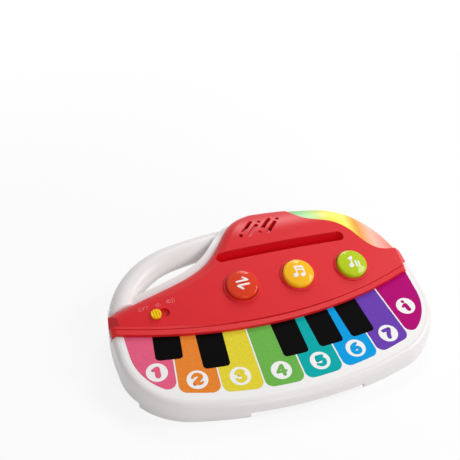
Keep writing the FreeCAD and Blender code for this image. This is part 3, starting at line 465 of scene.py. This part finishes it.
# %% Button signs
COVER_SLOPE = math.radians(19.5)
COVER_CREST_MM = 59.3
COVER_CROWN_MM = 1400.0
COVER_FRONT_Y_MM = -21.2
COVER_FRONT_Z_MM = KEY_HEIGHT_MM + COVER_FRONT_Y_MM * math.tan(KEY_TILT) + 2.6
BUTTON_PLACES_MM = [(-20.3, 11.7), (26.0, 11.7), (72.3, 11.7)]
BUTTON_DOME_MM = 5.4
BUTTON_BALL_MM = 49.71
PAD_INK_MM = 0.08
SIGNS = [
    [(STRAIGHT, [(-4.4, 2.2, 0.8), (4.5, 2.2, 0.8)]), (STRAIGHT, [(4.5, 2.2, 0.8), (1.3, 5.0, 0.8)]),
     (STRAIGHT, [(4.5, -1.4, 0.8), (-4.4, -1.4, 0.8)]), (STRAIGHT, [(-4.4, -1.4, 0.8), (-1.2, -4.6, 0.8)])],
    [(STRAIGHT, [(-4.1, -2.6, 1.7), (-3.3, -2.5, 1.7)]), (STRAIGHT, [(1.7, -3.3, 1.7), (2.5, -3.2, 1.7)]),
     (STRAIGHT, [(-2.1, -2.4, 0.6), (-2.2, 5.0, 0.6)]), (STRAIGHT, [(3.9, -3.2, 0.6), (3.7, 4.1, 0.6)]),
     (STRAIGHT, [(-2.2, 5.0, 0.9), (3.7, 4.1, 0.9)]), (STRAIGHT, [(-2.2, 2.3, 0.6), (3.7, 1.4, 0.6)])],
    [(STRAIGHT, [(-2.6, -2.9, 1.9), (-2.0, -2.8, 1.9)]), (STRAIGHT, [(-0.9, -2.6, 0.6), (-1.5, 2.8, 0.6)]),
     (STRAIGHT, [(0.5, 5.3, 0.7), (-2.9, 3.4, 0.7)]), (STRAIGHT, [(0.5, 5.3, 0.7), (0.0, 2.8, 0.7)]),
     (STRAIGHT, [(-2.9, 3.4, 0.7), (0.0, 2.8, 0.7)]), (STRAIGHT, [(-1.2, 3.7, 0.8), (-0.4, 4.0, 0.9)]),
     (STRAIGHT, [(2.1, 0.6, 0.75), (2.1, -3.8, 0.75)]), (STRAIGHT, [(4.6, -0.1, 0.75), (4.6, -4.0, 0.75)])],
]


def cover_height(x_mm, y_mm):
    profile = COVER_FRONT_Z_MM + (y_mm - COVER_FRONT_Y_MM) * math.tan(COVER_SLOPE)
    ring = COVER_CROWN_MM + profile - COVER_CREST_MM
    return COVER_CREST_MM - COVER_CROWN_MM + math.sqrt(ring ** 2 - x_mm ** 2)


def cover_axes(x_mm, y_mm):
    profile = COVER_FRONT_Z_MM + (y_mm - COVER_FRONT_Y_MM) * math.tan(COVER_SLOPE)
    across = Vector((1, 0, -x_mm / (COVER_CROWN_MM - COVER_CREST_MM + profile)))
    normal = across.cross(Vector((0, 1, math.tan(COVER_SLOPE)))).normalized()
    across.normalize()
    return across, normal.cross(across), normal


def button_face(place_mm):
    across_axis, up_axis, normal = cover_axes(*place_mm)
    base = Vector((*place_mm, cover_height(*place_mm))) * MM

    def place(across, up, height):
        ball = BUTTON_BALL_MM * MM
        dome = BUTTON_DOME_MM * MM - ball + math.sqrt(ball ** 2 - across ** 2 - up ** 2)
        return base + across_axis * across + up_axis * up + normal * (dome + height)
    return place


pad_sizes = {"Flatness": PAD_INK_MM, "Step": STROKE_STEP_MM * MM}
for number, (spot, paths) in enumerate(zip(BUTTON_PLACES_MM, SIGNS), 1):
    name = f"button_{number}"
    piece = make_sign(f"{name}_sign", drawn_paths(name, paths), stroke_tree, pad_sizes,
                      finishes["film_white"], button_face(spot))
    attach(piece, name)
print("signs on", len(SIGNS), "buttons")

# %% [markdown]
# Beside the switch the cover has three small raised marks: a word for off, then a loudspeaker with one
# wave and one with more. They are cut into the tool and polished there, so they are glossier than the
# grained cover around them, and they follow its slope. Their paler red is a painted highlight.

# %% Switch marks
MARK_RAISE_MM = 0.22
MARKS = [
    ((-96.5, 12.9), [
        (BENT, [(-4.2, 0.0, 0.3), (-4.2, 1.5, 0.3), (-2.4, 1.5, 0.3), (-2.4, 0.0, 0.3), (-2.4, -1.5, 0.3),
                (-4.2, -1.5, 0.3), (-4.2, 0.0, 0.3)]),
        (STRAIGHT, [(-1.0, -1.2, 0.3), (-1.0, 1.2, 0.3), (0.7, 1.2, 0.3)]),
        (STRAIGHT, [(-1.0, 0.0, 0.3), (0.1, 0.0, 0.3)]),
        (STRAIGHT, [(1.9, -1.2, 0.3), (1.9, 1.2, 0.3), (3.6, 1.2, 0.3)]),
        (STRAIGHT, [(1.9, 0.0, 0.3), (3.0, 0.0, 0.3)])]),
    ((-85.8, 13.1), [
        (STRAIGHT, [(-1.8, -0.6, 0.3), (-1.8, 0.6, 0.3), (-1.0, 0.6, 0.3), (0.2, 1.6, 0.3), (0.2, -1.6, 0.3),
                    (-1.0, -0.6, 0.3), (-1.8, -0.6, 0.3)]),
        (BENT, [(1.2, -1.1, 0.28), (1.9, 0.0, 0.28), (1.2, 1.1, 0.28)])]),
    ((-76.4, 13.8), [
        (STRAIGHT, [(-2.8, -0.6, 0.3), (-2.8, 0.6, 0.3), (-2.0, 0.6, 0.3), (-0.8, 1.6, 0.3), (-0.8, -1.6, 0.3),
                    (-2.0, -0.6, 0.3), (-2.8, -0.6, 0.3)]),
        (BENT, [(0.2, -1.0, 0.28), (0.9, 0.0, 0.28), (0.2, 1.0, 0.28)]),
        (BENT, [(1.3, -1.5, 0.28), (2.4, 0.0, 0.28), (1.3, 1.5, 0.28)]),
        (BENT, [(2.4, -2.0, 0.28), (3.9, 0.0, 0.28), (2.4, 2.0, 0.28)])]),
]


def cover_face(place_mm):
    across_axis, up_axis, normal = cover_axes(*place_mm)
    base = Vector((*place_mm, cover_height(*place_mm))) * MM

    def place(across, up, height):
        return base + across_axis * across + up_axis * up + normal * height
    return place


# Red ABS from a polished part of the tool: the same red, with a paler base colour that is a painted highlight.
finishes["raised_red"] = moulded("ABS red, polished marks, painted highlight", "#EC6168", "#E8565E", 0.22, 2.0, 0.002)
mark_sizes = {"Flatness": MARK_RAISE_MM / 0.3, "Step": STROKE_STEP_MM * MM}
for number, (spot, paths) in enumerate(MARKS, 1):
    name = f"switch_mark_{number}"
    piece = make_sign(name, drawn_paths(name, paths), stroke_tree, mark_sizes, finishes["raised_red"],
                      cover_face(spot))
    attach(piece, "housing")
print(len(MARKS), "marks by the switch")

# %% [markdown]
# Where the handle runs into the body, the white moulding ends in a rounded shoulder beside the cover. It
# could be drawn by hand, but its two edges already exist: the rim of the cover and the top of the handle.
# So rays are sent straight down along lines that cross this place. Each finds where the cover ends and
# where the handle's end starts, and a quarter of an ellipse joins the two.

# %% Handle shoulder
SHOULDER_X_MM = (-120.0, -101.2)
SHOULDER_STATIONS = 40
SHOULDER_ARC_POINTS = 9
SHOULDER_REACH_MM = 6.0
SHOULDER_STEP_MM = 0.02
SHOULDER_ROOT_MM = 1.2
SHOULDER_UNDER_MM = 0.04
SHOULDER_LAP_MM = 0.3
SHOULDER_TAIL_MM = 0.5
FACE_RISE_MM = 0.8
RAY_START_MM = 10.0
RIM_START_MM = (-118.0, 17.0)
RIM_TURN = math.radians(17)


def height_from_above(spot, nodes):
    above = Vector((spot.x, spot.y, frame_box[1][2] + RAY_START_MM * MM))
    hits = [frame["nodes"][node].ray_cast(above, Vector((0, 0, -1))) for node in nodes]
    return max((place.z for found, place, normal, face in hits if found), default=0.0)


along_rim = Vector((math.cos(RIM_TURN), math.sin(RIM_TURN), 0))
off_rim = Vector((-math.sin(RIM_TURN), math.cos(RIM_TURN), 0))
rim_start = Vector((*RIM_START_MM, 0)) * MM
white = ["upper_housing", "handle_upper_shell"]
sections = []
for station in range(SHOULDER_STATIONS):
    x_mm = SHOULDER_X_MM[0] + (SHOULDER_X_MM[1] - SHOULDER_X_MM[0]) * station / (SHOULDER_STATIONS - 1)
    base = rim_start + along_rim * ((x_mm - RIM_START_MM[0]) * MM / math.cos(RIM_TURN))
    steps = [base + off_rim * (SHOULDER_STEP_MM * MM * i)
             for i in range(int(SHOULDER_REACH_MM / SHOULDER_STEP_MM))]
    rows = [(spot, height_from_above(spot, ["top_cover"]), height_from_above(spot, white)) for spot in steps]
    free = [row for row in rows if row[2] > row[1]]
    covered = [row for row in rows if row[1] >= row[2] and row[1] > 0]
    if not free or not covered:
        continue
    rim, ledge = free[0][0], free[0][2]
    face = next((row for row in free if row[2] > ledge + FACE_RISE_MM * MM), None)
    if face is None:
        continue
    lap = face[0] + off_rim * (SHOULDER_LAP_MM * MM)
    top = height_from_above(lap, white) - SHOULDER_UNDER_MM * MM
    low = min(covered[-1][1], top)
    arc = []
    for i in range(SHOULDER_ARC_POINTS):
        angle = math.pi / 2 * i / (SHOULDER_ARC_POINTS - 1)
        spot = rim.lerp(lap, 1 - math.cos(angle))
        arc.append(Vector((spot.x, spot.y, low + (top - low) * math.sin(angle))))
    sections.append((arc, ledge - SHOULDER_ROOT_MM * MM))
print(len(sections), "sections found")

# %% [markdown]
# The sections become one closed shell. Each goes on a little under the handle and down into the housing, so
# that no edge of the shell shows, and the two end sections are closed with a face each.

# %% Close the shoulder
points, faces = [], []
for arc, root in sections:
    tail = arc[-1] + off_rim * (SHOULDER_TAIL_MM * MM)
    points += arc + [tail, Vector((tail.x, tail.y, root)), Vector((arc[0].x, arc[0].y, root))]
count = SHOULDER_ARC_POINTS + 3
last = (len(sections) - 1) * count
for start in range(0, last, count):
    for i in range(count):
        j = (i + 1) % count
        faces.append((start + i, start + j, start + count + j, start + count + i))
faces += [tuple(range(count)), tuple(range(last, last + count))]
shoulder_mesh = bpy.data.meshes.new("handle_shoulder")
shoulder_mesh.from_pydata(points, [], faces)
shell = bmesh.new()
shell.from_mesh(shoulder_mesh)
bmesh.ops.recalc_face_normals(shell, faces=shell.faces)
shell.to_mesh(shoulder_mesh)
shell.free()
for face in shoulder_mesh.polygons:
    face.use_smooth = len(face.vertices) == 4
shoulder_mesh.materials.append(finishes["white_plastic"])
shoulder = bpy.data.objects.new("handle_shoulder", shoulder_mesh)
scene.collection.objects.link(shoulder)
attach(shoulder, "housing")
print("shoulder of", len(sections), "sections")

# %% [markdown]
# A plain pale floor and soft light from above. The floor is bright to the camera so that the background
# goes to white, and it still takes the toy's shadow, because near the toy a sixth of what the camera
# sees of it is lit like any other surface. Further off that share fades away, so the floor shows no far
# edge. Three large soft panels give the plastics their long highlights.

# %% Floor, world and lights
def any_ray(tree):
    """1 for what the camera sees straight, in a mirror or through glass, 0 for light on a surface."""
    seen = add(tree, "ShaderNodeLightPath", {}).outputs
    mirror = add(tree, "ShaderNodeMath", {0: seen["Is Glossy Ray"], 1: seen["Is Transmission Ray"]},
                 operation="MAXIMUM")
    return add(tree, "ShaderNodeMath", {0: seen["Is Camera Ray"], 1: mirror.outputs[0]},
               operation="MAXIMUM").outputs[0]


FLOOR_HALF_M = 3.0
FLOOR_BRIGHT = 0.84
FLOOR_NEAR_M = 0.20
FLOOR_FAR_M = 0.60
floor_mesh = bpy.data.meshes.new("floor")
corners = [(-FLOOR_HALF_M, -FLOOR_HALF_M, 0), (FLOOR_HALF_M, -FLOOR_HALF_M, 0),
           (FLOOR_HALF_M, FLOOR_HALF_M, 0), (-FLOOR_HALF_M, FLOOR_HALF_M, 0)]
floor_mesh.from_pydata(corners, [], [(0, 1, 2, 3)])
floor = bpy.data.objects.new("floor", floor_mesh)
scene.collection.objects.link(floor)
material, tree = new_tree("studio sweep, white vinyl")
matt = add(tree, "ShaderNodeBsdfDiffuse", {"Color": linear("#F4F4F4")})
bright = add(tree, "ShaderNodeEmission", {"Color": linear("#FFFFFF"), "Strength": 1.0})
place = add(tree, "ShaderNodeTexCoord", {}).outputs["Object"]
away = add(tree, "ShaderNodeVectorMath", {0: place}, operation="LENGTH")
bright_share = add(tree, "ShaderNodeMapRange", {"Value": away.outputs["Value"], "From Min": FLOOR_NEAR_M,
                                                "From Max": FLOOR_FAR_M, "To Min": FLOOR_BRIGHT},
                   interpolation_type="SMOOTHSTEP")
part_seen = add(tree, "ShaderNodeMath", {0: any_ray(tree), 1: bright_share.outputs["Result"]},
                operation="MULTIPLY")
mixed = add(tree, "ShaderNodeMixShader", {0: part_seen.outputs[0], 1: matt.outputs["BSDF"],
                                          2: bright.outputs["Emission"]})
add(tree, "ShaderNodeOutputMaterial", {"Surface": mixed.outputs["Shader"]})
floor_mesh.materials.append(material)

SKY_LIGHT = 0.38
world = bpy.data.worlds.new("studio")
scene.world = world
world.use_nodes = True
tree = world.node_tree
tree.nodes.clear()
level = add(tree, "ShaderNodeMapRange", {"Value": any_ray(tree), "To Min": SKY_LIGHT, "To Max": 1.0})
sky = add(tree, "ShaderNodeBackground", {"Color": linear("#FFFFFF"), "Strength": level.outputs["Result"]})
add(tree, "ShaderNodeOutputWorld", {"Surface": sky.outputs["Background"]})

# Panels: name, place in metres, size in metres, watts
PANELS = [("panel_right", (0.80, -0.15, 0.80), 0.40, 4.7),
          ("panel_rear", (0.40, 0.75, 0.85), 0.40, 4.8),
          ("panel_front", (0.15, -0.95, 0.50), 0.40, 2.8)]
for name, place, size, watts in PANELS:
    light = bpy.data.lights.new(name, "AREA")
    light.size = size
    light.energy = watts
    lamp = bpy.data.objects.new(name, light)
    lamp.location = place
    lamp.rotation_euler = (-Vector(place)).to_track_quat("-Z", "Y").to_euler()
    scene.collection.objects.link(lamp)
print("floor and", len(PANELS), "panels")
